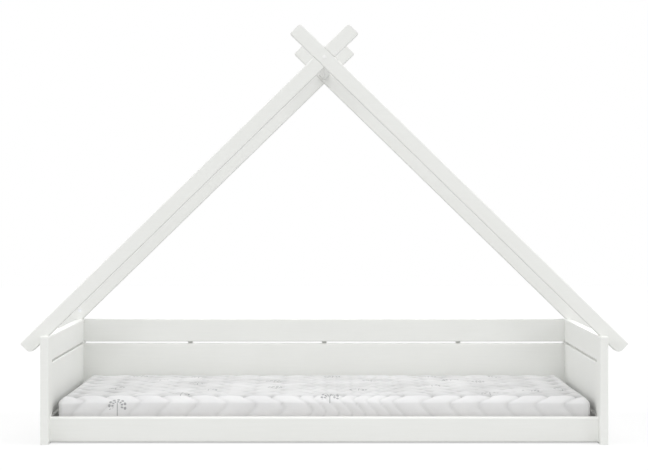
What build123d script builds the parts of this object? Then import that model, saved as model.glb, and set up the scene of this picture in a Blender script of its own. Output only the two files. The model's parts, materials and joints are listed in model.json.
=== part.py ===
from build123d import *
from math import atan2, cos, degrees, hypot, sin
import os

os.makedirs("parts", exist_ok=True)

# Driving dimensions, in millimetres. X runs along the bed, the open front faces -Y
# and Z points up. The origin is on the floor under the middle of the bed.
mattress_length = 2000
mattress_width = 900
mattress_thickness = 130
mattress_end_gap = 20
mattress_side_gap = 25

board_thickness = 30
board_width = 95
wide_board_width = 190
slot_height = 8.5
floor_gap = 3
panel_height = 400
panel_depth = 1100
post_width = 96
long_edge_radius = 4
rail_edge_radius = 8
post_edge_radius = 3
pair = (-1, 1)

rafter_width = 54
rafter_thickness = 46
cross_height = 1437
heel_height = 376
rafter_tail = 1555
rafter_tip = 152
rafter_setback = 47
rafter_edge_radius = 4
tail_radius = 20
tip_radius = 14
small_corner_radius = 5
ridge_side = 34
ridge_edge_radius = 4

batten_width = 20
batten_thickness = 18
batten_length = 365
batten_low_end = 20
batten_spacing = 570

ledge_width = 25
ledge_height = 23
ledge_edge_cut = 3
slat_count = 14
slat_width = 72
slat_thickness = 18
slat_end_gap = 5
slat_edge_cut = 2
ribbon_width = 30
ribbon_thickness = 1.5
ribbon_offset = 300

lift_clearance = 0.3
mattress_crown = 5
mattress_corner_radius = 22
mattress_shoulder_flat = 17
mattress_shoulder_ease = 4
mattress_lower_edge = 16
mattress_draw_in = 5
cover_thickness = 10
core_corner_cut = 40
core_edge_cut = 16
channel_pitch = 107
channel_width = 18
channel_depth = 4

# Round fasteners and their holes are drawn with flats, so that many copies stay light.
# The heads and caps that show have more of them.
few_flats = 12
many_flats = 20
screw_flats = 8

bolt_radius = 3
bolt_hole_radius = 3.5
bolt_head_radius = 7
bolt_head_height = 2.5
bolt_hold = 50
bolt_end_gap = 5
nut_radius = 5
nut_length = 14
nut_inset = 36
nut_hole_depth = 22
dowel_radius = 4
dowel_length = 40
dowel_hole_depth = 20.5
dowel_end_gap = 2
screw_radius = 2
screw_head_radius = 4
screw_head_depth = 2.5
batten_screw_length = 38
ledge_screw_length = 42
ledge_screw_count = 6
slat_screw_length = 36

cam_radius = 7.5
cam_height = 12.5
cam_pocket_depth = 13
cam_rise = 38
cam_cavity_radius = 3.7
stud_setback = 9
stud_radius = 3
stud_bite = 12
stud_neck_radius = 2.25
stud_neck_length = 3
stud_head_radius = 3.5
stud_head_length = 3

ridge_bolt_radius = 4
ridge_bolt_hole_radius = 4.3
ridge_bolt_head_radius = 6.5
ridge_bolt_head_height = 8
ridge_bolt_length = 96
ridge_nut_radius = 6
ridge_nut_length = 20
ridge_nut_inset = 38
ridge_dowel_drop = 13
ridge_dowel_depth = 18
cap_radius = 7.5
cap_height = 1.6
counterbore_radius = 6.8
counterbore_depth = 11.5
corner_cap_height = 2
corner_cap_plug_radius = 4
corner_cap_plug_length = 8
corner_cap_inset = 11

# Places that follow from the dimensions above.
inner_length = mattress_length + 2 * mattress_end_gap
inner_depth = mattress_width + 2 * mattress_side_gap
panel_outer = inner_length / 2 + board_thickness
panel_middle = inner_length / 2 + board_thickness / 2
post_inner = panel_depth / 2 - post_width
rail_centre = inner_depth / 2 + board_thickness / 2
bottom_level = floor_gap + board_width / 2
middle_level = floor_gap + board_width + slot_height + wide_board_width / 2
top_level = panel_height - board_width / 2
slat_top = floor_gap + ledge_height + slat_thickness
mattress_bottom = slat_top + lift_clearance
mattress_top = mattress_bottom + mattress_thickness
slat_pitch = inner_length / slat_count
slat_places = [(i + 0.5) * slat_pitch - inner_length / 2 for i in range(slat_count)]

# The roof slope makes the lower edge of a rafter meet the top outer edge of the side
# panel at the heel height, where the birdsmouth is cut.
rafter_centre = panel_depth / 2 - rafter_setback - rafter_thickness / 2
rafter_inner = rafter_centre - rafter_thickness / 2
rafter_outer = rafter_centre + rafter_thickness / 2
rafter_rise = cross_height - heel_height
chord = hypot(rafter_rise, panel_outer)
slope = atan2(rafter_rise, panel_outer) - atan2(
    rafter_width / 2, (chord**2 - (rafter_width / 2) ** 2) ** 0.5
)
rafter_length = rafter_tip + rafter_tail


def save(builder, name):
    builder.part.label = name
    export_step(builder.part, f"parts/{name}.step")


def facing(x, y, z, direction, across=None):
    return Plane(origin=(x, y, z), x_dir=across, z_dir=direction)


def drill(places, radius, depth, flats=few_flats):
    with BuildSketch(*places) as mouths:
        RegularPolygon(radius, flats)
    extrude(mouths.sketch, amount=-depth, mode=Mode.SUBTRACT)


def pin(radius, length, level=0, flats=few_flats):
    with BuildSketch(Plane.XY.offset(level)) as end:
        RegularPolygon(radius, flats)
    extrude(end.sketch, amount=-length)


# Fasteners are shaped once, with their heads at the origin and their shanks along -Z.
def make_screw(length):
    with BuildPart() as screw:
        with BuildSketch():
            RegularPolygon(screw_head_radius, screw_flats)
        with BuildSketch(Plane.XY.offset(-screw_head_depth)):
            RegularPolygon(screw_radius, screw_flats)
        loft()
        pin(screw_radius, length - screw_head_depth, -screw_head_depth, screw_flats)
    return screw.part


def screw_in(places, screw):
    with Locations(*places):
        add(screw, mode=Mode.SUBTRACT)


batten_screw = make_screw(batten_screw_length)
ledge_screw = make_screw(ledge_screw_length)
slat_screw = make_screw(slat_screw_length)

# Bolts run through a side panel into the end of a rail or of a back board.
rail_levels = (bottom_level - board_width / 4, bottom_level + board_width / 4)
back_levels = (bottom_level, middle_level, top_level)
joint_points = [(-rail_centre, z) for z in rail_levels] + [(rail_centre, z) for z in back_levels]
bolt_places = {
    side: [facing(side * panel_outer, y, z, (side, 0, 0)) for y, z in joint_points]
    for side in pair
}
nut_place_x = inner_length / 2 - nut_inset


# The front rail is drilled for its nuts from behind and a back board from its rear face,
# so that no nut shows from inside the bed.
def nut_places(y_face, level):
    return [facing(side * nut_place_x, y_face, level, (0, 1, 0), (1, 0, 0)) for side in pair]


def end_places(y, level):
    return [facing(side * inner_length / 2, y, level, (side, 0, 0)) for side in pair]


rail_back = -inner_depth / 2
back_face = inner_depth / 2 + board_thickness
all_nut_places = [place for z in rail_levels for place in nut_places(rail_back, z)]
all_nut_places += [place for z in back_levels for place in nut_places(back_face, z)]

# Each side board hangs on two dowels at each end, set in the posts.
board_levels = {
    "bottom": (bottom_level, board_width),
    "middle": (middle_level, wide_board_width),
    "top": (top_level, board_width),
}


def dowel_levels(level, width):
    return (level - width / 4, level + width / 5)


def dowel_places(side, end, level, width):
    return [
        facing(side * panel_middle, end * post_inner, z, (0, end, 0))
        for z in dowel_levels(level, width)
    ]


# Each rafter stands on a post with one cam stud and one dowel. The rear right rafter has
# its cam on its rear face, and the other three have theirs on the face inside the bed.
cam_faces = {
    (-1, -1): 1,
    (1, -1): 1,
    (-1, 1): -1,
    (1, 1): 1,
}


def stud_y(side, end):
    out = cam_faces[side, end]
    return end * rafter_centre + out * (rafter_thickness / 2 - stud_setback)


def foot_dowel_y(side, end):
    return 2 * end * rafter_centre - stud_y(side, end)


def cam_place(side, end):
    out = cam_faces[side, end]
    y_face = end * rafter_centre + out * rafter_thickness / 2
    return facing(side * panel_middle, y_face, panel_height + cam_rise, (0, out, 0), (0, 0, -1))


corners = [(side, end) for side in pair for end in pair]
side_names = {-1: "left", 1: "right"}
end_names = {-1: "front", 1: "rear"}
spare_hole_y = inner_depth / 2 - corner_cap_inset


# The posts reach the floor. Their outer edges are eased and their tops take the same
# rounding as the boards between them.
def make_post(side, end):
    with BuildPart() as post:
        middle = end * (panel_depth - post_width) / 2
        with BuildSketch(Plane.XY) as plan:
            with Locations((side * panel_middle, middle)):
                Rectangle(board_thickness, post_width)
            fillet(plan.vertices().group_by(Axis.Y)[0 if end < 0 else -1], post_edge_radius)
        extrude(amount=panel_height)
        with BuildSketch(Plane.XZ) as shoulders:
            with Locations((side * panel_middle, 0)):
                Rectangle(board_thickness, panel_height, align=(Align.CENTER, Align.MIN))
            fillet(shoulders.vertices().group_by(Axis.Y)[-1], long_edge_radius)
        extrude(amount=panel_depth, both=True, mode=Mode.INTERSECT)
        with BuildSketch(Plane.YZ) as nose:
            with Locations((middle, 0)):
                Rectangle(post_width, panel_height, align=(Align.CENTER, Align.MIN))
            outer = nose.vertices().group_by(Axis.X)[0 if end < 0 else -1]
            fillet(outer.sort_by(Axis.Y)[-1], long_edge_radius)
        extrude(amount=panel_outer, both=True, mode=Mode.INTERSECT)
        for level, width in board_levels.values():
            holes = [
                facing(side * panel_middle, end * post_inner, z, (0, -end, 0))
                for z in dowel_levels(level, width)
            ]
            drill(holes, dowel_radius, dowel_hole_depth)
        for y, z in joint_points:
            if y * end > 0:
                through = [facing(side * panel_outer, y, z, (side, 0, 0))]
                drill(through, bolt_hole_radius, board_thickness)
        top = panel_height
        drill(
            [facing(side * panel_middle, stud_y(side, end), top, (0, 0, 1))],
            stud_radius,
            stud_bite,
        )
        drill(
            [facing(side * panel_middle, foot_dowel_y(side, end), top, (0, 0, 1))],
            dowel_radius,
            dowel_length / 2,
        )
        if end > 0:
            spare = facing(side * inner_length / 2, spare_hole_y, middle_level, (-side, 0, 0))
            drill([spare], corner_cap_plug_radius, corner_cap_plug_length)
    return post


def make_side_board(side, level, width):
    with BuildPart() as board:
        with BuildSketch(Plane.XZ):
            with Locations((side * panel_middle, level)):
                RectangleRounded(board_thickness, width, long_edge_radius)
        extrude(amount=post_inner, both=True)
        for end in pair:
            drill(dowel_places(side, end, level, width), dowel_radius, dowel_hole_depth)
    return board


for side in pair:
    for end in pair:
        save(make_post(side, end), f"{side_names[side]}_{end_names[end]}_post")
    for name, (level, width) in board_levels.items():
        save(make_side_board(side, level, width), f"{side_names[side]}_{name}_board")

# The slatted base lies on one ledge screwed to the front rail and one screwed to the
# bottom board at the back.
ledge_level = floor_gap + ledge_height / 2
ledge_face = inner_depth / 2 - ledge_width
ledge_pitch = inner_length / ledge_screw_count
ledge_screw_xs = [(i + 0.5) * ledge_pitch - inner_length / 2 for i in range(ledge_screw_count)]
ledge_screw_places = {
    end: [facing(x, end * ledge_face, ledge_level, (0, -end, 0)) for x in ledge_screw_xs]
    for end in pair
}
slat_screw_y = ledge_face + ledge_width / 2
slat_screw_places = {
    end: [
        facing(x, end * slat_screw_y, slat_top, (0, 0, 1))
        for x in (slat_places[0], slat_places[-1])
    ]
    for end in pair
}
batten_xs = {"left": -batten_spacing, "centre": 0, "right": batten_spacing}
batten_face = back_face + batten_thickness
batten_levels = (
    bottom_level,
    middle_level - wide_board_width / 4,
    middle_level + wide_board_width / 4,
    top_level,
)


def batten_screw_places(x):
    return [facing(x, batten_face, z, (0, 1, 0)) for z in batten_levels]


def make_cross_board(y, level, width, edge_radius=long_edge_radius):
    with BuildPart() as board:
        with BuildSketch(Plane.YZ):
            with Locations((y, level)):
                RectangleRounded(board_thickness, width, edge_radius)
        extrude(amount=inner_length / 2, both=True)
    return board


with make_cross_board(-rail_centre, bottom_level, board_width, rail_edge_radius) as front_rail:
    for level in rail_levels:
        drill(end_places(-rail_centre, level), bolt_hole_radius, bolt_hold)
        drill(nut_places(rail_back, level), nut_radius, nut_hole_depth)
    screw_in(ledge_screw_places[-1], ledge_screw)
save(front_rail, "front_rail")

for name, (level, width) in board_levels.items():
    with make_cross_board(rail_centre, level, width) as back_board:
        drill(end_places(rail_centre, level), bolt_hole_radius, bolt_hold)
        drill(nut_places(back_face, level), nut_radius, nut_hole_depth)
        for x in batten_xs.values():
            screw_in(batten_screw_places(x), batten_screw)
        if name == "bottom":
            screw_in(ledge_screw_places[1], ledge_screw)
    save(back_board, f"back_{name}_board")

for name, x in batten_xs.items():
    with BuildPart() as batten:
        with BuildSketch(Plane.XY.offset(batten_low_end)) as section:
            with Locations((x, back_face + batten_thickness / 2)):
                Rectangle(batten_width, batten_thickness)
            chamfer(section.vertices(), ledge_edge_cut)
        extrude(amount=batten_length)
        screw_in(batten_screw_places(x), batten_screw)
    save(batten, f"back_batten_{name}")

for end in pair:
    with BuildPart() as ledge:
        with BuildSketch(Plane.YZ) as section:
            with Locations((end * (ledge_face + ledge_width / 2), ledge_level)):
                Rectangle(ledge_width, ledge_height)
            chamfer(section.vertices(), ledge_edge_cut)
        extrude(amount=inner_length / 2 - slat_end_gap, both=True)
        screw_in(ledge_screw_places[end], ledge_screw)
        screw_in(slat_screw_places[end], slat_screw)
    save(ledge, f"{end_names[end]}_ledge")

# The slats are tied by two ribbons underneath, and the first and last are screwed down.
for number, x in enumerate(slat_places, start=1):
    with BuildPart() as slat:
        with BuildSketch(Plane.XZ) as section:
            with Locations((x, slat_top - slat_thickness / 2)):
                Rectangle(slat_width, slat_thickness)
            chamfer(section.vertices(), slat_edge_cut)
        extrude(amount=inner_depth / 2 - slat_end_gap, both=True)
        if x in (slat_places[0], slat_places[-1]):
            for end in pair:
                screw_in(slat_screw_places[end], slat_screw)
    save(slat, f"slat_{number:02d}")

for end in pair:
    with BuildPart(Plane.XY.offset(slat_top - slat_thickness)) as ribbon:
        with Locations((0, end * ribbon_offset)):
            Box(
                slat_places[-1] - slat_places[0] + slat_width,
                ribbon_width,
                ribbon_thickness,
                align=(Align.CENTER, Align.CENTER, Align.MAX),
            )
    save(ribbon, f"slat_ribbon_{end_names[end]}")


# A rafter's side plane lies on its centre line, with local X down to the foot and local Y
# to its upper edge. The bolt through both rafters of a cross passes through the origin.
def side_plane(side, end):
    return Plane(
        origin=(0, end * rafter_centre, cross_height),
        x_dir=(side * cos(slope), 0, -sin(slope)),
        z_dir=(0, -side, 0),
    )


def section_plane(side, end):
    plane = side_plane(side, end)
    return Plane(
        origin=plane.origin - plane.x_dir * rafter_tip, x_dir=(0, 1, 0), z_dir=plane.x_dir
    )


# In each cross the rafter with its foot on the right runs whole across the front half of
# the thickness, and the other across the rear half, so the half-lap is flush both sides.
def make_rafter(side, end):
    with BuildPart() as rafter:
        with BuildSketch(section_plane(side, end)):
            RectangleRounded(rafter_thickness, rafter_width, rafter_edge_radius)
        extrude(amount=rafter_length)
        with BuildSketch(side_plane(side, end)):
            with BuildLine():
                FilletPolyline(
                    (-rafter_tip, -rafter_width / 2),
                    (rafter_tail, -rafter_width / 2),
                    (rafter_tail, rafter_width / 2),
                    (-rafter_tip, rafter_width / 2),
                    radius=[small_corner_radius, tail_radius, small_corner_radius, tip_radius],
                    close=True,
                )
            make_face()
        extrude(amount=rafter_thickness, both=True, mode=Mode.INTERSECT)

        # half-lap for the other rafter of the cross
        with BuildSketch(side_plane(-side, end)):
            Rectangle(2 * rafter_width, rafter_width)
        extrude(amount=rafter_thickness, mode=Mode.SUBTRACT)

        # birdsmouth: the seat lies on the panel's top and the heel against its outer face
        with Locations((side * panel_outer, end * rafter_centre, panel_height)):
            corner = Align.MAX if side > 0 else Align.MIN
            Box(
                2 * board_thickness,
                rafter_thickness,
                2 * board_thickness,
                align=(corner, Align.CENTER, Align.MAX),
                mode=Mode.SUBTRACT,
            )

        outside = facing(0, end * rafter_outer, cross_height, (0, end, 0))
        drill([outside], ridge_bolt_hole_radius, rafter_thickness)
        drill([outside], counterbore_radius, counterbore_depth, many_flats)
        inside = facing(0, end * rafter_inner, cross_height - ridge_dowel_drop, (0, -end, 0))
        drill([inside], dowel_radius, ridge_dowel_depth)

        drill([cam_place(side, end)], cam_radius, cam_pocket_depth, many_flats)
        seat_x = side * panel_middle
        stud_seat = facing(seat_x, stud_y(side, end), panel_height, (0, 0, -1))
        drill([stud_seat], stud_head_radius, cam_rise)
        dowel_seat = facing(seat_x, foot_dowel_y(side, end), panel_height, (0, 0, -1))
        drill([dowel_seat], dowel_radius, dowel_hole_depth)
    return rafter


for side, end in corners:
    save(make_rafter(side, end), f"{end_names[end]}_{side_names[side]}_rafter")


# The ridge bar is a square bar turned on edge between the two crosses.
ridge_nut_places = [
    facing(0, end * (rafter_inner - ridge_nut_inset), cross_height, (1, 0, 1), (1, 0, -1))
    for end in pair
]
ridge_nut_mouths = [place.offset(ridge_side / 2) for place in ridge_nut_places]
with BuildPart() as ridge_bar:
    with BuildSketch(Plane.XZ):
        with Locations((0, cross_height)):
            RectangleRounded(ridge_side, ridge_side, ridge_edge_radius, rotation=45)
    extrude(amount=rafter_inner, both=True)
    for end in pair:
        bolt_end = facing(0, end * rafter_inner, cross_height, (0, end, 0))
        drill([bolt_end], ridge_bolt_hole_radius, ridge_bolt_length - rafter_thickness)
        dowel_end = facing(0, end * rafter_inner, cross_height - ridge_dowel_drop, (0, end, 0))
        drill([dowel_end], dowel_radius, dowel_hole_depth + dowel_end_gap)
    drill(ridge_nut_mouths, ridge_nut_radius, ridge_nut_length / 2 + ridge_side / 2)
save(ridge_bar, "ridge_bar")


# The mattress cover is a quilted bag round a foam core. Its crown is an arc across the
# width, its long sides are drawn in between the corners, and the stitched channels of the
# top follow the crown.
half_length = mattress_length / 2
half_width = mattress_width / 2
crown_radius = (half_width**2 + mattress_crown**2) / (2 * mattress_crown)
crown_axis = Axis((0, 0, mattress_top - crown_radius), (1, 0, 0))
crown_angle = degrees(atan2(half_width, crown_radius - mattress_crown))
channel_count = int(mattress_length / channel_pitch)
channel_places = [(i - (channel_count - 1) / 2) * channel_pitch for i in range(channel_count)]

with BuildPart() as mattress_core:
    with BuildSketch(Plane.XY.offset(mattress_bottom + cover_thickness)) as outline:
        Rectangle(
            mattress_length - 2 * (cover_thickness + mattress_draw_in),
            mattress_width - 2 * (cover_thickness + mattress_draw_in),
        )
        chamfer(outline.vertices(), core_corner_cut)
    extrude(amount=mattress_thickness - 2 * cover_thickness - mattress_crown)
    chamfer(mattress_core.faces().sort_by(Axis.Z)[0].edges(), core_edge_cut)
    chamfer(mattress_core.faces().sort_by(Axis.Z)[-1].edges(), core_edge_cut)
save(mattress_core, "mattress_core")

with BuildPart() as mattress_cover:
    with BuildSketch(Plane.XY.offset(mattress_bottom)) as outline:
        with BuildLine():
            for x_sign, y_sign in ((-1, -1), (1, 1)):
                x_corner = x_sign * half_length
                y_corner = y_sign * half_width
                ThreePointArc(
                    (x_corner, y_corner),
                    (0, y_corner - y_sign * mattress_draw_in),
                    (-x_corner, y_corner),
                )
                ThreePointArc(
                    (-x_corner, y_corner),
                    (-x_corner + x_sign * mattress_draw_in, 0),
                    (-x_corner, -y_corner),
                )
        make_face()
        fillet(outline.vertices(), mattress_corner_radius)
    extrude(amount=mattress_thickness)
    with BuildSketch(Plane.YZ):
        with BuildLine():
            arc_edge = mattress_top - mattress_crown
            ThreePointArc((-half_width, arc_edge), (0, mattress_top), (half_width, arc_edge))
            Polyline(
                (half_width, arc_edge),
                (half_width, 0),
                (-half_width, 0),
                (-half_width, arc_edge),
            )
        make_face()
    extrude(amount=mattress_length, both=True, mode=Mode.INTERSECT)
    chamfer(mattress_cover.faces().sort_by(Axis.Z)[-1].edges(), mattress_shoulder_flat)
    chamfer(mattress_cover.faces().sort_by(Axis.Z)[-1].edges(), mattress_shoulder_ease)
    chamfer(mattress_cover.faces().sort_by(Axis.Z)[0].edges(), mattress_lower_edge)
    for direction in pair:
        with BuildSketch(Plane.XZ):
            with Locations(*[(x, mattress_top) for x in channel_places]):
                Polygon(
                    (-channel_width / 2, channel_depth / 4),
                    (channel_width / 2, channel_depth / 4),
                    (0, -channel_depth),
                    align=None,
                )
        revolve(
            axis=crown_axis,
            revolution_arc=direction * crown_angle,
            mode=Mode.SUBTRACT,
        )
    add(mattress_core.part, mode=Mode.SUBTRACT)
save(mattress_cover, "mattress_cover")


# Groups of like fasteners.
def save_group(name, shape, places):
    with BuildPart() as group:
        with Locations(*places):
            add(shape)
    save(group, name)


with BuildPart() as frame_bolt:
    pin(bolt_radius, board_thickness + bolt_hold - bolt_end_gap)
    pin(bolt_head_radius, bolt_head_height, bolt_head_height, many_flats)
    chamfer(frame_bolt.faces().sort_by(Axis.Z)[-1].edges(), bolt_head_height / 3)
save_group("frame_bolts", frame_bolt.part, bolt_places[-1] + bolt_places[1])

with BuildPart() as barrel_nut:
    pin(nut_radius, nut_length, nut_length - nut_hole_depth)
    drill([facing(nut_radius, 0, -board_thickness / 2, (1, 0, 0))], bolt_radius, 2 * nut_radius)
save_group("barrel_nuts", barrel_nut.part, all_nut_places)

with BuildPart() as dowel:
    pin(dowel_radius, dowel_length, dowel_length / 2)
panel_dowel_places = [
    place
    for side, end in corners
    for level, width in board_levels.values()
    for place in dowel_places(side, end, level, width)
]
save_group("panel_dowels", dowel.part, panel_dowel_places)
foot_places = [
    facing(side * panel_middle, foot_dowel_y(side, end), panel_height, (0, 0, 1))
    for side, end in corners
]
save_group("rafter_dowels", dowel.part, foot_places)
ridge_dowel_y = rafter_inner + ridge_dowel_depth - dowel_length / 2
ridge_dowel_places = [
    facing(0, end * ridge_dowel_y, cross_height - ridge_dowel_drop, (0, 1, 0)) for end in pair
]
save_group("ridge_dowels", dowel.part, ridge_dowel_places)

# Each cam turns in its pocket and grips the ball head of the stud that rises through the
# seat of the birdsmouth.
with BuildPart() as cam:
    pin(cam_radius, cam_height, cam_height - cam_pocket_depth, many_flats)
    with Locations((0, 0, cam_height - cam_pocket_depth)):
        for turn in (0, 90):
            Box(
                1.2 * cam_radius,
                cam_radius / 4,
                cam_radius / 2,
                rotation=(0, 0, turn),
                mode=Mode.SUBTRACT,
            )
    mouth = facing(cam_radius, 0, -stud_setback, (1, 0, 0))
    drill([mouth], cam_cavity_radius, cam_radius + 2 * stud_head_length)
save_group("rafter_cams", cam.part, [cam_place(side, end) for side, end in corners])

with BuildPart() as stud:
    head_level = cam_rise + stud_head_length / 2
    neck_level = head_level - stud_head_length
    shank_level = neck_level - stud_neck_length
    pin(stud_head_radius, stud_head_length, head_level)
    pin(stud_neck_radius, stud_neck_length, neck_level)
    pin(stud_radius, stud_bite + shank_level, shank_level)
stud_places = [
    facing(side * panel_middle, stud_y(side, end), panel_height, (0, 0, 1))
    for side, end in corners
]
save_group("rafter_studs", stud.part, stud_places)

# One bolt at each end holds both rafters of a cross to the ridge bar, under a cap.
cross_places = [facing(0, end * rafter_outer, cross_height, (0, end, 0)) for end in pair]
with BuildPart() as ridge_bolt:
    shank_level = -counterbore_depth
    shank_length = ridge_bolt_length - counterbore_depth - bolt_end_gap
    pin(ridge_bolt_head_radius, ridge_bolt_head_height, shank_level + ridge_bolt_head_height, many_flats)
    pin(ridge_bolt_radius, shank_length, shank_level)
save_group("ridge_bolts", ridge_bolt.part, cross_places)

with BuildPart() as ridge_nut:
    pin(ridge_nut_radius, ridge_nut_length, ridge_nut_length / 2)
    bolt_way = facing(0, ridge_nut_radius, 0, (0, 1, 0), (1, 0, 1))
    drill([bolt_way], ridge_bolt_radius, 2 * ridge_nut_radius)
save_group("ridge_barrel_nuts", ridge_nut.part, ridge_nut_places)

with BuildPart() as bolt_cap:
    pin(cap_radius, cap_height, cap_height, many_flats)
    chamfer(bolt_cap.faces().sort_by(Axis.Z)[-1].edges(), cap_height / 2)
    pin(ridge_bolt_head_radius, counterbore_depth - ridge_bolt_head_height, 0, many_flats)
save_group("ridge_bolt_caps", bolt_cap.part, cross_places)

# A round cap closes a hole on each side panel, close in front of the back boards.
with BuildPart() as corner_cap:
    pin(cap_radius, corner_cap_height, corner_cap_height, many_flats)
    chamfer(corner_cap.faces().sort_by(Axis.Z)[-1].edges(), corner_cap_height / 2)
    pin(corner_cap_plug_radius, corner_cap_plug_length)
corner_cap_places = [
    facing(side * inner_length / 2, spare_hole_y, middle_level, (-side, 0, 0)) for side in pair
]
save_group("corner_caps", corner_cap.part, corner_cap_places)

all_batten_screws = [place for x in batten_xs.values() for place in batten_screw_places(x)]
save_group("batten_screws", batten_screw, all_batten_screws)
save_group("ledge_screws", ledge_screw, ledge_screw_places[-1] + ledge_screw_places[1])
save_group("slat_screws", slat_screw, slat_screw_places[-1] + slat_screw_places[1])
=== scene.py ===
import json
from math import cos, hypot, pi, radians, sin

import bpy
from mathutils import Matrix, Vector, noise


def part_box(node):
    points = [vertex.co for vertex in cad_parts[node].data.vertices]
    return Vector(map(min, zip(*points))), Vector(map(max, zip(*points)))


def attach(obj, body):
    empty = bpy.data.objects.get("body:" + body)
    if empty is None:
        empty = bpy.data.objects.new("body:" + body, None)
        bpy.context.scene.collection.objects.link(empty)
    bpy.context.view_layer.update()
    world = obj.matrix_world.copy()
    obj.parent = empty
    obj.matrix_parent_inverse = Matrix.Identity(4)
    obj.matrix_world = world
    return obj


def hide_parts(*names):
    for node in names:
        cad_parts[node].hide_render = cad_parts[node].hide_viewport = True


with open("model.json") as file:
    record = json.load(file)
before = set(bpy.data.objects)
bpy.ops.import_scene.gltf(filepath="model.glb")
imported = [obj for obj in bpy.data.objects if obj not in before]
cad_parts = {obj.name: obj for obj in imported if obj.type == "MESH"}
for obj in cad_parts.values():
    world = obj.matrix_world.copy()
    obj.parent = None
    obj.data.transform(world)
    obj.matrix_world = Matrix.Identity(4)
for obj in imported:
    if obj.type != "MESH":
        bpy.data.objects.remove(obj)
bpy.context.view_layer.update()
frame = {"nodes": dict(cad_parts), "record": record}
nodes = frame["nodes"]
slots = {row["node"]: row["material_slot"] for row in frame["record"]["subparts"]}

UP = Vector((0, 0, 1))

# Camera: level and straight on, as in the photograph. The vanishing point of the photograph
# lies a little above and to the right of its middle, so the picture is shifted the other way.
PHOTO_WIDTH = 648
HORIZON_RISE = 34.2
HORIZON_SIDE_STEP = 0.25
CAMERA_PLACE = (0, -7.45, 0.902)
LENS = 103.77
SENSOR = 36


def add_camera():
    data = bpy.data.cameras.new("camera")
    data.sensor_width = SENSOR
    data.lens = LENS
    data.shift_x = -HORIZON_SIDE_STEP / PHOTO_WIDTH
    data.shift_y = -HORIZON_RISE / PHOTO_WIDTH
    data.clip_end = 100
    camera = bpy.data.objects.new("camera", data)
    camera.location = CAMERA_PLACE
    camera.rotation_euler = (radians(90), 0, 0)
    bpy.context.scene.collection.objects.link(camera)
    bpy.context.scene.camera = camera


add_camera()
bpy.context.scene.view_settings.view_transform = "Standard"


class Graph:
    """A material's node tree, with a short call for each kind of node that is used here."""

    def __init__(self, name):
        self.material = bpy.data.materials.new(name)
        self.material.use_nodes = True
        self.tree = self.material.node_tree
        self.tree.nodes.clear()
        self.output = self.node("ShaderNodeOutputMaterial")

    def node(self, kind, **inputs):
        """Adds a node. An input is named, or numbered as in i0, and takes a value or a socket."""
        made = self.tree.nodes.new(kind)
        for name, value in inputs.items():
            self.set(made, name, value)
        return made

    def set(self, made, name, value):
        numbered = name[0] == "i" and name[1:].isdigit()
        socket = made.inputs[int(name[1:])] if numbered else made.inputs[name]
        if isinstance(value, bpy.types.NodeSocket):
            self.tree.links.new(value, socket)
        else:
            socket.default_value = value

    def math(self, operation, a, b=0.5, clamp=False):
        made = self.node("ShaderNodeMath", i0=a, i1=b)
        made.operation = operation
        made.use_clamp = clamp
        return made.outputs[0]

    def scaled(self, value, gain, start):
        """value * gain + start"""
        return self.math("ADD", self.math("MULTIPLY", value, gain), start)

    def blend(self, a, share_a, b, share_b):
        return self.math("ADD", self.math("MULTIPLY", a, share_a), self.math("MULTIPLY", b, share_b))

    def coords(self, scale, turn=(0, 0, 0)):
        place = self.node("ShaderNodeTexCoord").outputs["Object"]
        mapping = self.node("ShaderNodeMapping", Vector=place, Scale=scale, Rotation=turn)
        return mapping.outputs[0]

    def noise(self, vector, scale, detail=3, rough=0.5, distort=0):
        made = self.node("ShaderNodeTexNoise", Vector=vector, Scale=scale, Detail=detail,
                         Roughness=rough, Distortion=distort)
        return made.outputs[0]

    def ramp(self, factor, stops):
        made = self.node("ShaderNodeValToRGB", Fac=factor)
        elements = made.color_ramp.elements
        while len(elements) < len(stops):
            elements.new(0.5)
        for element, (place, colour) in zip(elements, stops):
            element.position = place
            element.color = (*colour, 1)
        return made.outputs[0]

    def mix(self, factor, a, b):
        made = self.node("ShaderNodeMix")
        made.data_type = "RGBA"
        for index, value in ((0, factor), (6, a), (7, b)):
            if isinstance(value, tuple):
                value = (*value, 1)
            self.set(made, f"i{index}", value)
        return made.outputs[2]

    def bump(self, height, strength, distance, under=None):
        made = self.node("ShaderNodeBump", Height=height, Strength=strength, Distance=distance)
        if under is not None:
            self.set(made, "Normal", under)
        return made.outputs[0]

    def finish(self, **sockets):
        shader = self.node("ShaderNodeBsdfPrincipled")
        for name, value in sockets.items():
            if isinstance(value, tuple) and len(value) == 3:
                value = (*value, 1)
            self.set(shader, name.replace("_", " "), value)
        self.tree.links.new(shader.outputs[0], self.output.inputs["Surface"])
        return self.material


# Turns of a material whose grain runs along X, so that it follows the board.
ALONG_X = (0, 0, 0)
ALONG_Y = (0, 0, radians(90))
ALONG_Z = (0, radians(90), 0)
UP_TO_THE_RIGHT = (0, radians(45), 0)
UP_TO_THE_LEFT = (0, radians(-45), 0)
EVEN = (1, 1, 1)


def white_lacquer(name, turn):
    """White lacquer on pine: the grain shows through as faint ridges along the board."""
    g = Graph(name)
    grain = g.noise(g.coords((1.2, 22, 22), turn), 6, 6, 0.6, 0.4)
    fine = g.noise(g.coords((6, 260, 260), turn), 3, 2)
    mottle = g.noise(g.coords(EVEN), 5, 3)
    tone = g.blend(grain, 0.6, mottle, 0.4)
    colour = g.ramp(tone, [(0.3, (0.775, 0.782, 0.757)), (0.7, (0.80, 0.806, 0.784))])
    rough = g.scaled(fine, 0.12, 0.40)
    normal = g.bump(grain, 0.16, 0.0006)
    normal = g.bump(fine, 0.15, 0.0003, normal)
    return g.finish(Base_Color=colour, Roughness=rough, Normal=normal, Specular_IOR_Level=0.35)


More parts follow.
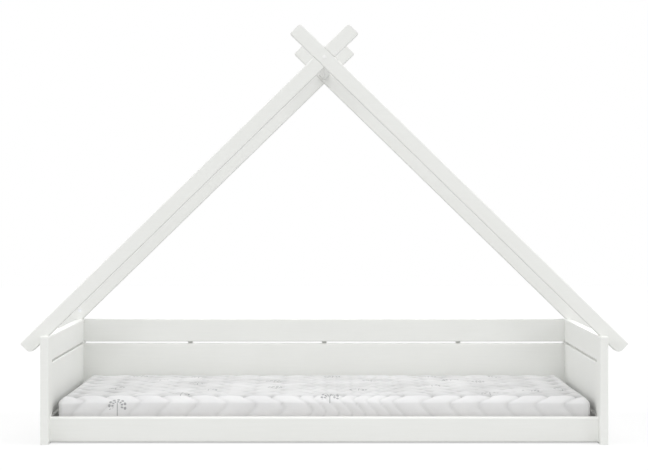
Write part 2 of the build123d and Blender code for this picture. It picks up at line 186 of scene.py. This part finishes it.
def bare_pine(name, turn):
    """Planed pine: warped year rings and fine pores, both along the board."""
    g = Graph(name)
    along = g.coords((1, 9, 9), turn)
    warp = g.noise(along, 2.2, 3, 0.5, 0.3)
    rings = g.node("ShaderNodeTexWave", Vector=along, Scale=3.5, Distortion=5, Detail=3)
    rings.inputs["Detail Scale"].default_value = 1.4
    rings.bands_direction = "Y"
    tone = g.blend(rings.outputs[1], 0.55, warp, 0.5)
    pale, middle, dark = (0.78, 0.62, 0.41), (0.71, 0.53, 0.32), (0.58, 0.39, 0.21)
    colour = g.ramp(tone, [(0.2, pale), (0.6, middle), (0.85, dark)])
    pores = g.noise(g.coords((8, 300, 300), turn), 3, 2)
    normal = g.bump(tone, 0.2, 0.0005)
    normal = g.bump(pores, 0.2, 0.0003, normal)
    return g.finish(Base_Color=colour, Roughness=g.scaled(pores, 0.2, 0.5), Normal=normal)


def dowel_wood(name):
    g = Graph(name)
    fleck = g.noise(g.coords((60, 60, 60)), 6, 3)
    colour = g.ramp(fleck, [(0.35, (0.50, 0.30, 0.16)), (0.65, (0.62, 0.40, 0.23))])
    return g.finish(Base_Color=colour, Roughness=0.6, Normal=g.bump(fleck, 0.3, 0.0003))


def zinc(name, colour_low, colour_high, rough_low, rough_gain):
    """Clouded metal with fine scratches."""
    g = Graph(name)
    cloud = g.noise(g.coords(EVEN), 180, 4)
    scratch = g.noise(g.coords((40, 900, 900)), 2, 2)
    colour = g.ramp(cloud, [(0.35, colour_low), (0.65, colour_high)])
    rough = g.scaled(scratch, rough_gain, rough_low)
    return g.finish(Base_Color=colour, Metallic=1.0, Roughness=rough, Normal=g.bump(scratch, 0.2, 0.0001))


def white_plastic(name):
    g = Graph(name)
    speckle = g.noise(g.coords(EVEN), 900, 2)
    colour = g.ramp(speckle, [(0.4, (0.80, 0.80, 0.79)), (0.6, (0.83, 0.83, 0.82))])
    rough = g.scaled(speckle, 0.1, 0.32)
    return g.finish(Base_Color=colour, Roughness=rough, Normal=g.bump(speckle, 0.1, 0.0001))


def webbing(name):
    """Two sets of threads that cross."""
    g = Graph(name)
    threads = g.node("ShaderNodeTexWave", Vector=g.coords(EVEN), Scale=220, Distortion=0.4)
    across = g.node("ShaderNodeTexWave", Vector=g.coords(EVEN), Scale=260, Distortion=0.4)
    across.bands_direction = "Y"
    weave = g.math("MULTIPLY", threads.outputs[1], across.outputs[1])
    colour = g.ramp(weave, [(0.1, (0.62, 0.60, 0.52)), (0.7, (0.76, 0.74, 0.67))])
    return g.finish(Base_Color=colour, Roughness=0.9, Normal=g.bump(weave, 0.5, 0.0004))


def foam(name):
    g = Graph(name)
    cells = g.node("ShaderNodeTexVoronoi", Vector=g.coords(EVEN), Scale=500).outputs[0]
    colour = g.ramp(cells, [(0.1, (0.72, 0.68, 0.54)), (0.7, (0.84, 0.80, 0.68))])
    return g.finish(Base_Color=colour, Roughness=0.95, Normal=g.bump(cells, 0.6, 0.001))


LACQUER = {
    "x": white_lacquer("white_lacquer_along_x", ALONG_X),
    "y": white_lacquer("white_lacquer_along_y", ALONG_Y),
    "z": white_lacquer("white_lacquer_along_z", ALONG_Z),
    "left_rafter": white_lacquer("white_lacquer_rafter_2", UP_TO_THE_RIGHT),
    "right_rafter": white_lacquer("white_lacquer_rafter_0", UP_TO_THE_LEFT),
}
PINE = {
    "x": bare_pine("bare_pine_along_x", ALONG_X),
    "y": bare_pine("bare_pine_along_y", ALONG_Y),
}
UNGRAINED = {
    "beech_dowel": dowel_wood("beech_dowel"),
    "zinc_steel": zinc("zinc_steel", (0.55, 0.56, 0.57), (0.68, 0.69, 0.70), 0.28, 0.15),
    "cast_zinc": zinc("cast_zinc", (0.66, 0.67, 0.68), (0.78, 0.79, 0.80), 0.42, 0.2),
    "white_cap": white_plastic("white_cap"),
    "ribbon_webbing": webbing("ribbon_webbing"),
    "mattress_foam": foam("mattress_foam"),
}


def grain_of(name):
    """Which way the grain of a wooden node runs."""
    if name.endswith("rafter"):
        return "left_rafter" if "left" in name else "right_rafter"
    if "post" in name or "batten" in name:
        return "z"
    if name.startswith(("left_", "right_", "slat_")) or name == "ridge_bar":
        return "y"
    return "x"


def dress(name, slot):
    if slot == "white_lacquered_pine":
        material = LACQUER[grain_of(name)]
    elif slot == "bare_pine":
        material = PINE[grain_of(name)]
    else:
        material = UNGRAINED[slot]
    mesh = nodes[name].data
    mesh.materials.clear()
    mesh.materials.append(material)
    for material_slot in nodes[name].material_slots:
        material_slot.material = material


for node_name, node_slot in slots.items():
    if node_name != "mattress_cover":
        dress(node_name, node_slot)


# Mattress: a quilted cover over foam, built as one closed net in the box of its CAD solid. The
# square top net is mapped on to the rounded plan, so that its border points lie on the outline.
low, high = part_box("mattress_cover")
HALF_X, HALF_Y = high.x, high.y
TOP, BOTTOM = high.z, low.z
CORNER = 0.024
SHOULDER = 0.032
HEM = 0.016
CROWN = 0.007
DRAW_IN = 0.006
STEP = 0.0055
SHOULDER_STEPS = 9
HEM_STEPS = 5
CREST_Y = -0.12
FRONT_SLACK = 0.35
END_SLACK = 0.6

# Stitch lines cross the mattress as waves, close together in the middle zone.
ZONE_EDGES = (-0.068, 0.281)
CLOSE_PITCH = 0.0499
WIDE_PITCH = 0.107
STITCHES_RIGHT, STITCHES_LEFT = 9, 10
STITCH_END_GAP = 0.04
WAVE_LENGTH = 0.125
WAVE_REACH = 0.024

# Depths of the stitching, which is deeper on top and fades down the sides and ends.
CLOSE_DEPTH = 0.0050
WIDE_DEPTH = 0.0060
TOP_GAIN = 2.1
TOP_BAND = 0.004
FADE_START, FADE_LENGTH, FADE_LEAST = 0.045, 0.05, 0.25
END_BAND, END_FADE = 0.02, 0.3
LEFT_FLAT = 0.004

# Ripples of the cloth between the stitch lines.
RIPPLE_HEIGHT = 0.0011
RIPPLE_LENGTH = 0.062
RIPPLE_SPAN = 0.09


def axis_lines(half):
    """Places of the net's lines along one axis, drawn together over the shoulders."""
    edge = [half - SHOULDER * (1 - cos(k / SHOULDER_STEPS * pi / 2)) for k in range(SHOULDER_STEPS)]
    inner = half - SHOULDER
    count = round(2 * inner / STEP)
    middle = [-inner + 2 * inner * i / count for i in range(count + 1)]
    return [-v for v in edge] + middle + edge[::-1]


def signs(x, y):
    return (1 if x > 0 else -1), (1 if y > 0 else -1)


def on_plan(x, y):
    """A point of the square-cornered plan moved on to the rounded one, with its depth inside."""
    sx, sy = signs(x, y)
    ix, iy = abs(x) - (HALF_X - CORNER), abs(y) - (HALF_Y - CORNER)
    if ix > 0 and iy > 0:
        reach = max(ix, iy)
        far = hypot(ix, iy)
        px = HALF_X - CORNER + ix * reach / far
        py = HALF_Y - CORNER + iy * reach / far
        return sx * px, sy * py, CORNER - reach
    return x, y, min(HALF_X - abs(x), HALF_Y - abs(y))


def outward(x, y):
    """The level direction out of the nearest side, or out of a corner's round."""
    sx, sy = signs(x, y)
    ix, iy = abs(x) - (HALF_X - CORNER), abs(y) - (HALF_Y - CORNER)
    if ix > 0 and iy > 0:
        return Vector((sx * ix, sy * iy, 0)).normalized()
    return Vector((sx, 0, 0)) if HALF_X - abs(x) < HALF_Y - abs(y) else Vector((0, sy, 0))


def crown_height(x, y):
    """Height of the top, which is crowned along a line in front of its middle."""
    if y > CREST_Y:
        slack = (y - CREST_Y) / (HALF_Y - CREST_Y)
    else:
        slack = FRONT_SLACK * (y - CREST_Y) / (HALF_Y + CREST_Y)
    return TOP - CROWN * max(slack * slack, (x / HALF_X) ** 6 * END_SLACK)


def shoulder_drop(part):
    """How far the shoulder has dropped: between a round and a flat bevel."""
    round_drop = 1 - (1 - part * part) ** 0.5
    return SHOULDER * (0.5 * round_drop + 0.5 * part)


def drawn_in(x, y):
    """Draws the sides and ends in between the corners."""
    return (
        x - DRAW_IN * (1 - (y / HALF_Y) ** 2) * (x / HALF_X) ** 9,
        y - DRAW_IN * (1 - (x / HALF_X) ** 2) * (y / HALF_Y) ** 9,
    )


def stitch_places():
    """Where the stitch lines cross the long axis."""
    places = []
    x = ZONE_EDGES[0]
    while x <= ZONE_EDGES[1] + 0.001:
        places.append(x)
        x += CLOSE_PITCH
    right = [places[-1] + WIDE_PITCH * (k + 1) for k in range(STITCHES_RIGHT)]
    left = [places[0] - WIDE_PITCH * (k + 1) for k in range(STITCHES_LEFT)]
    return sorted(v for v in left + places + right if abs(v) < HALF_X - STITCH_END_GAP)


STITCHES = stitch_places()


def wave(v, x):
    """How far a stitch line swings to the side, a wave between a zigzag and a sine."""
    turn = (v / WAVE_LENGTH + 0.35 * sin(2.1 * x)) % 1.0
    zigzag = abs(2 * turn - 1) * 2 - 1
    return WAVE_REACH * sin(zigzag * pi / 2 * 0.92)


def quilt(x, v):
    """Padding over the stitching, 0 on a stitch line and 1 between two, and the pitch there."""
    shifted = x - wave(v, x)
    if shifted <= STITCHES[0] or shifted >= STITCHES[-1]:
        near = STITCHES[0] if shifted <= STITCHES[0] else STITCHES[-1]
        return min(1, abs(shifted - near) / 0.05) ** 0.55, WIDE_PITCH
    k = 0
    while STITCHES[k + 1] < shifted:
        k += 1
    left, right = STITCHES[k], STITCHES[k + 1]
    part = (shifted - left) / (right - left)
    return (4 * part * (1 - part)) ** 0.36, right - left


def unrolled(x, y, z):
    """Lengths along and across the cloth, carried on down the four sides."""
    drop = max(0.0, TOP - CROWN - z)
    u, v = x, y
    if abs(y) > HALF_Y - SHOULDER:
        v += (1 if y > 0 else -1) * drop
    elif abs(x) > HALF_X - SHOULDER:
        u += (1 if x > 0 else -1) * drop
    return u, v


def uneven(height, x, y, z):
    return height * noise.noise(Vector((x, y, z)))


def relief(x, y, z):
    """How far a point of the cover lies out of the smooth form: stitching, dents and ripples."""
    v = unrolled(x, y, z)[1]
    pad, pitch = quilt(x, v)
    on_top = z > TOP - CROWN - TOP_BAND
    stitching = (CLOSE_DEPTH if pitch < (CLOSE_PITCH + WIDE_PITCH) / 2 else WIDE_DEPTH) * (pad - 1)
    if on_top:
        stitching *= TOP_GAIN
    drop = TOP - z
    if drop > FADE_START:
        stitching *= max(FADE_LEAST, 1 - (drop - FADE_START) / FADE_LENGTH)
    if abs(x) > HALF_X - END_BAND:
        stitching *= END_FADE
    dents = uneven(0.0018, x * 4, y * 5, z * 6) + uneven(0.0009, x * 13, y * 17, z * 15)
    ripples = uneven(0.0005, x * 50, v * 60, 3.0)
    if on_top:
        ripple = sin(2 * pi * (v / RIPPLE_LENGTH + 0.3 * sin(x * 2 * pi / RIPPLE_SPAN)))
        ripples += RIPPLE_HEIGHT * ripple * min(1.0, 2.2 * (1 - pad) + 0.5)
    return stitching + dents + ripples


def side_rows():
    """Height, inset and downward tilt of each row of the sides, from the shoulder to the hem."""
    wall_top = TOP - SHOULDER - CROWN
    wall_height = wall_top - BOTTOM - HEM
    steps = round(wall_height / STEP)
    rows = [(wall_top - wall_height * k / steps, 0.0, 0.0) for k in range(1, steps + 1)]
    for k in range(1, HEM_STEPS + 1):
        turn = k / HEM_STEPS * pi / 2
        rows.append((BOTTOM + HEM * (1 - sin(turn)), HEM * (1 - cos(turn)), sin(turn)))
    return rows


def smooth_net():
    """Points, outward directions and faces of the cover before its relief."""
    xs, ys = axis_lines(HALF_X), axis_lines(HALF_Y)
    nx, ny = len(xs), len(ys)
    points, normals = [], []

    def put(x, y, z, normal):
        px, py = drawn_in(x, y)
        points.append(Vector((px, py, z)))
        normals.append(normal)
        return len(points) - 1

    top = {}
    for j in range(ny):
        for i in range(nx):
            x, y, depth = on_plan(xs[i], ys[j])
            z = crown_height(x, y)
            normal = UP
            if depth < SHOULDER:
                part = min(1.0, 1 - depth / SHOULDER)
                z -= shoulder_drop(part)
                normal = (outward(x, y) * part + UP * (1 - part * part) ** 0.5).normalized()
            top[i, j] = put(x, y, z, normal)
    faces = [
        (top[i, j], top[i + 1, j], top[i + 1, j + 1], top[i, j + 1])
        for i in range(nx - 1)
        for j in range(ny - 1)
    ]

    # The sides go down from the border of the top, ring by ring, and the last ring is closed.
    rim = [(i, 0) for i in range(nx)] + [(nx - 1, j) for j in range(1, ny)]
    rim += [(i, ny - 1) for i in range(nx - 2, -1, -1)] + [(0, j) for j in range(ny - 2, 0, -1)]
    ring = [top[key] for key in rim]
    for z, inset, down in side_rows():
        fresh = []
        for i, j in rim:
            x, y, _ = on_plan(xs[i], ys[j])
            flat = outward(x, y)
            normal = (flat * (1 - down * down) ** 0.5 - UP * down).normalized()
            fresh.append(put(x - flat.x * inset, y - flat.y * inset, z, normal))
        for a in range(len(ring)):
            b = (a + 1) % len(ring)
            faces.append((ring[b], ring[a], fresh[a], fresh[b]))
        ring = fresh
    faces.append(tuple(reversed(ring)))
    return points, normals, faces


def build_mattress():
    """The quilted cover. Its material reads the place on the cloth and the padding from the net."""
    points, normals, faces = smooth_net()
    cloth, padding = [], []
    for index, point in enumerate(points):
        u, v = unrolled(point.x, point.y, point.z)
        cloth += [u, v, 0.0]
        padding.append(quilt(point.x, v)[0])
        if point.z > BOTTOM + LEFT_FLAT:
            points[index] = point + normals[index] * relief(point.x, point.y, point.z)
    mesh = bpy.data.meshes.new("mattress_quilt")
    mesh.from_pydata(points, [], faces)
    mesh.update()
    mesh.attributes.new("cloth", "FLOAT_VECTOR", "POINT").data.foreach_set("vector", cloth)
    mesh.attributes.new("padding", "FLOAT", "POINT").data.foreach_set("value", padding)
    for polygon in mesh.polygons:
        polygon.use_smooth = True
    piece = bpy.data.objects.new("mattress_quilt", mesh)
    bpy.context.scene.collection.objects.link(piece)
    return piece


# Print of the cover: seed heads, each a fan of leaflets on a stem.
MOTIFS_PER_METRE = 3.4
LEAFLETS_ROUND = 11
LEAFLET_ROW = 0.012
HEAD_RADIUS = 0.037
HEAD_HOLLOW = 0.012
STEM_HALF_WIDTH = 0.0016
STEM_TOP = 0.012
FAN_LEAST_SINE = -0.45


def seed_heads(g, cloth):
    """A mask with one motif round each of a set of scattered points."""
    cells = g.node("ShaderNodeTexVoronoi", Vector=cloth, Scale=MOTIFS_PER_METRE, Randomness=0.75)
    cells.voronoi_dimensions = "2D"
    offset = g.node("ShaderNodeVectorMath", i0=cloth, i1=cells.outputs["Position"])
    offset.operation = "SUBTRACT"
    parts = g.node("ShaderNodeSeparateXYZ", Vector=offset.outputs[0])
    side, rise = parts.outputs[0], parts.outputs[1]
    away = g.math("SQRT", g.math("ADD", g.math("MULTIPLY", side, side), g.math("MULTIPLY", rise, rise)))
    angle = g.math("ARCTAN2", rise, side)
    turn = g.math("FRACT", g.math("MULTIPLY", angle, LEAFLETS_ROUND / (2 * pi)))
    row = g.math("FRACT", g.math("MULTIPLY", away, 1 / LEAFLET_ROW))
    oval = g.math(
        "ADD",
        g.math("POWER", g.math("MULTIPLY", g.math("SUBTRACT", turn, 0.5), 2.9), 2.0),
        g.math("POWER", g.math("MULTIPLY", g.math("SUBTRACT", row, 0.5), 2.4), 2.0),
    )
    leaflets = g.math("LESS_THAN", oval, 1.0)
    fan = g.math("GREATER_THAN", g.math("SINE", angle), FAN_LEAST_SINE)
    clear = g.math("GREATER_THAN", away, HEAD_HOLLOW)
    head = g.math("MULTIPLY", g.math("MULTIPLY", leaflets, fan), clear)
    stem = g.math(
        "MULTIPLY",
        g.math("LESS_THAN", g.math("ABSOLUTE", side), STEM_HALF_WIDTH),
        g.math("LESS_THAN", rise, STEM_TOP),
    )
    near = g.math("LESS_THAN", away, HEAD_RADIUS)
    return g.math("MULTIPLY", g.math("MAXIMUM", head, stem), near)


def quilted_knit():
    """Pale knit with a grey print, and painted shade on the top and along the stitch lines."""
    g = Graph("quilted_knit")
    cloth = g.node("ShaderNodeAttribute")
    cloth.attribute_name = "cloth"
    cloth = cloth.outputs["Vector"]
    padding = g.node("ShaderNodeAttribute")
    padding.attribute_name = "padding"
    weave = g.noise(g.coords(EVEN), 700, 3)
    rows = g.node("ShaderNodeTexWave", Vector=g.coords(EVEN), Scale=150, Distortion=1.2, Detail=2)
    rows.bands_direction = "DIAGONAL"
    knit = g.blend(weave, 0.6, rows.outputs[1], 0.4)
    cloud = g.noise(g.coords(EVEN), 9, 3)
    colour = g.ramp(g.blend(knit, 0.35, cloud, 0.65), [(0.3, (0.69, 0.69, 0.695)), (0.7, (0.77, 0.77, 0.77))])

    across = g.math("ABSOLUTE", g.node("ShaderNodeSeparateXYZ", Vector=cloth).outputs[1])
    on_top = g.math("LESS_THAN", across, HALF_Y - SHOULDER * 0.85)
    # Painted shade: the top is darkened in patches towards grey, so that it reads darker than the shoulder.
    patches = g.noise(cloth, 4.5, 2, 0.6)
    top_painted_shade = g.math("ADD", g.math("MULTIPLY", patches, 1.1), -0.2, True)
    colour = g.mix(g.math("MULTIPLY", on_top, top_painted_shade), colour, (0.38, 0.38, 0.375))
    # Painted shade: the cloth is darkened along the stitch lines, where the creases lie, and more deeply on
    # the top.
    stitch_crease_shade = g.ramp(padding.outputs["Fac"], [(0.0, (1, 1, 1)), (0.82, (0, 0, 0))])
    colour = g.mix(g.math("MULTIPLY", stitch_crease_shade, g.scaled(on_top, 0.48, 0.34)), colour, (0.36, 0.36, 0.36))
    colour = g.mix(g.math("MULTIPLY", seed_heads(g, cloth), 0.72), colour, (0.22, 0.225, 0.23))
    normal = g.bump(knit, 0.35, 0.0008)
    return g.finish(Base_Color=colour, Roughness=0.9, Normal=normal, Sheen_Weight=0.15, Sheen_Roughness=0.5)


mattress = build_mattress()
mattress.data.materials.append(quilted_knit())
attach(mattress, "mattress")
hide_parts("mattress_cover")


# Floor, world and lamps. The camera sees a white floor with a pale shadow, and a white world.
FLOOR_HALF = 12
FLOOR_DROP = 0.0005
FLOOR_WHITE_SHARE = 0.66
WORLD_LIGHT = 0.50
WORLD_SEEN = 1.0

# Direction towards each lamp, its strength in units of pi, and its spread in degrees.
LAMPS = {
    "fill": ((0.0, -1.0, 0.20), 0.15, 12),
    "front_right": ((0.70, -0.62, 0.36), 0.11, 30),
    "front_left": ((-0.70, -0.62, 0.36), 0.11, 30),
    "side_right": ((0.85, 0.0, 0.52), 0.27, 40),
    "side_left": ((-0.85, 0.0, 0.52), 0.28, 40),
    "above": ((0.05, -0.15, 1), 0.32, 50),
    "back": ((0.2, 0.9, 0.3), 0.16, 40),
}


def floor_material():
    g = Graph("floor")
    camera_ray = g.node("ShaderNodeLightPath").outputs["Is Camera Ray"]
    plain = g.node("ShaderNodeBsdfDiffuse", Color=(0.60, 0.60, 0.60, 1))
    pale = g.node("ShaderNodeBsdfDiffuse", Color=(0.86, 0.86, 0.86, 1))
    white = g.node("ShaderNodeEmission", Color=(1, 1, 1, 1), Strength=1.0)
    seen = g.node("ShaderNodeMixShader", i0=FLOOR_WHITE_SHARE, i1=pale.outputs[0], i2=white.outputs[0])
    shader = g.node("ShaderNodeMixShader", i0=camera_ray, i1=plain.outputs[0], i2=seen.outputs[0])
    g.tree.links.new(shader.outputs[0], g.output.inputs["Surface"])
    return g.material


def add_floor():
    mesh = bpy.data.meshes.new("floor")
    corners = [(sx * FLOOR_HALF, sy * FLOOR_HALF, 0) for sx, sy in ((-1, -1), (1, -1), (1, 1), (-1, 1))]
    mesh.from_pydata(corners, [], [(0, 1, 2, 3)])
    mesh.materials.append(floor_material())
    floor = bpy.data.objects.new("floor", mesh)
    floor.location.z = -FLOOR_DROP
    bpy.context.scene.collection.objects.link(floor)


def add_world():
    """Plain white surroundings, brighter where the camera or a reflection sees them."""
    world = bpy.data.worlds.new("studio")
    bpy.context.scene.world = world
    world.use_nodes = True
    tree = world.node_tree
    tree.nodes.clear()
    out = tree.nodes.new("ShaderNodeOutputWorld")
    path = tree.nodes.new("ShaderNodeLightPath")
    seen = tree.nodes.new("ShaderNodeMath")
    seen.operation = "MAXIMUM"
    tree.links.new(path.outputs["Is Camera Ray"], seen.inputs[0])
    tree.links.new(path.outputs["Is Glossy Ray"], seen.inputs[1])
    mixer = tree.nodes.new("ShaderNodeMixShader")
    tree.links.new(seen.outputs[0], mixer.inputs[0])
    for index, strength in ((1, WORLD_LIGHT), (2, WORLD_SEEN)):
        background = tree.nodes.new("ShaderNodeBackground")
        background.inputs["Color"].default_value = (1, 1, 1, 1)
        background.inputs["Strength"].default_value = strength
        tree.links.new(background.outputs[0], mixer.inputs[index])
    tree.links.new(mixer.outputs[0], out.inputs["Surface"])


def add_lamp(name, towards, strength, spread):
    data = bpy.data.lights.new(name, "SUN")
    data.energy = strength * pi
    data.angle = radians(spread)
    lamp = bpy.data.objects.new(name, data)
    lamp.rotation_euler = Vector(towards).to_track_quat("Z", "Y").to_euler()
    bpy.context.scene.collection.objects.link(lamp)


add_floor()
add_world()
for lamp_name, (towards, strength, spread) in LAMPS.items():
    add_lamp(lamp_name, towards, strength, spread)
